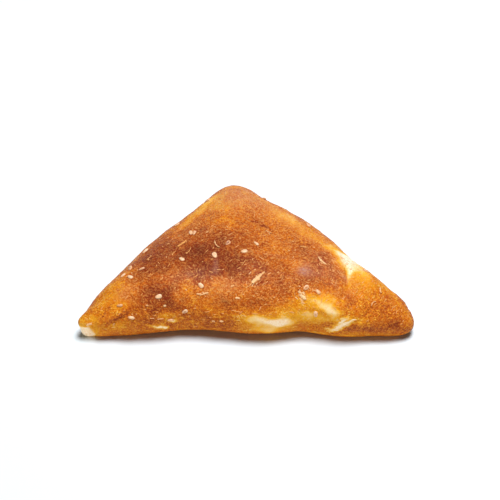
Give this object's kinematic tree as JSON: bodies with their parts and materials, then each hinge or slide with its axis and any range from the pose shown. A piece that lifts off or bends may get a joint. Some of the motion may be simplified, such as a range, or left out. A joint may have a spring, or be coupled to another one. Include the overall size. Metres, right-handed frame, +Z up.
{
  "type": "bourekas pastry",
  "caption": "Triangular filled puff pastry, folded from a square and baked brown, with a crowned top, creased ends, baked-on sesame seeds and a flat base.",
  "frame": {"origin": "on the table under the middle of the pastry's box", "axes": "+X along the folded edge, to the right seen from the front; +Y from the folded edge to the back corner; +Z up"},
  "size_m": [0.1426, 0.0782, 0.0291],
  "materials": {
    "crust": "baked puff pastry crust with a thin egg wash, golden to dark brown, with pale patches of less baked dough",
    "sesame": "hulled sesame seed, baked to a pale cream",
    "flake": "thin dry flakes of loose crust and seed hull"
  },
  "bodies": {
    "root": {"pastry": "crust"}
  },
  "joints": []
}
